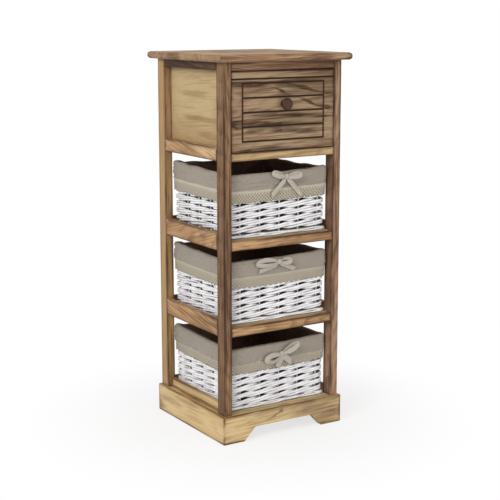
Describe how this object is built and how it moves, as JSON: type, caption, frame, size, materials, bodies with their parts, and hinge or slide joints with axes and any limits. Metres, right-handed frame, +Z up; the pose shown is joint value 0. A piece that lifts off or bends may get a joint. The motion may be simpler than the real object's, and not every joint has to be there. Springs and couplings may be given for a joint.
{
  "type": "bathroom drawer cabinet",
  "caption": "Tall slim bathroom cabinet of flamed solid wood with a knobbed drawer under the top and open bays that hold lined white willow baskets.",
  "frame": {"origin": "on the floor under the middle of the cabinet's box", "axes": "+Z up, the drawer and the baskets face -Y, +X to the right seen from the front"},
  "size_m": [0.358, 0.344, 0.9],
  "materials": {
    "top_wood": "flamed, waxed",
    "post_wood": "flamed, waxed",
    "rail_wood": "flamed, waxed",
    "light_wood": "waxed",
    "panel_wood": "waxed",
    "base_wood": "waxed",
    "front_wood": "flamed, waxed",
    "knob_wood": "turned, waxed",
    "plywood": "sanded",
    "inner_wood": "sanded",
    "steel": "zinc plated",
    "willow": "painted white",
    "cloth": "plain weave",
    "ribbon": "plain weave"
  },
  "bodies": {
    "cabinet": {"top": "top_wood", "post_front_left": "post_wood", "post_front_right": "post_wood", "post_rear_left": "post_wood", "post_rear_right": "post_wood", "top_rail_front": "rail_wood", "top_rail_rear": "rail_wood", "top_rail_left": "rail_wood", "top_rail_right": "rail_wood", "drawer_rail_front": "light_wood", "drawer_rail_rear": "rail_wood", "drawer_rail_left": "rail_wood", "drawer_rail_right": "rail_wood", "side_panel_left": "panel_wood", "side_panel_right": "panel_wood", "back_panel": "plywood", "runner_left": "inner_wood", "runner_right": "inner_wood", "upper_shelf_rail_front": "rail_wood", "upper_shelf_rail_rear": "rail_wood", "upper_shelf_rail_left": "rail_wood", "upper_shelf_rail_right": "rail_wood", "upper_shelf_board": "plywood", "lower_shelf_rail_front": "rail_wood", "lower_shelf_rail_rear": "rail_wood", "lower_shelf_rail_left": "rail_wood", "lower_shelf_rail_right": "rail_wood", "lower_shelf_board": "plywood", "base_front": "base_wood", "base_rear": "base_wood", "base_left": "base_wood", "base_right": "base_wood", "base_floor": "plywood", "base_guide_left": "light_wood", "base_guide_right": "light_wood", "base_guide_rear": "light_wood", "corner_blocks": "inner_wood", "base_cleats": "inner_wood", "carcass_screws": "steel"},
    "drawer": {"drawer_front": "front_wood", "drawer_side_left": "inner_wood", "drawer_side_right": "inner_wood", "drawer_back": "inner_wood", "drawer_bottom": "plywood", "drawer_knob": "knob_wood", "knob_screw": "steel"},
    "basket_1": {"basket_1_frame": "willow", "basket_1_weave": "willow", "basket_1_liner": "cloth", "basket_1_bow": "ribbon"},
    "basket_2": {"basket_2_frame": "willow", "basket_2_weave": "willow", "basket_2_liner": "cloth", "basket_2_bow": "ribbon"},
    "basket_3": {"basket_3_frame": "willow", "basket_3_weave": "willow", "basket_3_liner": "cloth", "basket_3_bow": "ribbon"}
  },
  "joints": [
    {"name": "drawer_slide", "type": "slide", "parent": "cabinet", "child": "drawer", "axis": [0, -1, 0], "range_m": [0, 0.19]},
    {"name": "basket_1_slide", "type": "slide", "parent": "cabinet", "child": "basket_1", "axis": [0, -1, 0], "range_m": [0, 0.24]},
    {"name": "basket_2_slide", "type": "slide", "parent": "cabinet", "child": "basket_2", "axis": [0, -1, 0], "range_m": [0, 0.24]},
    {"name": "basket_3_slide", "type": "slide", "parent": "cabinet", "child": "basket_3", "axis": [0, -1, 0], "range_m": [0, 0.24]}
  ]
}
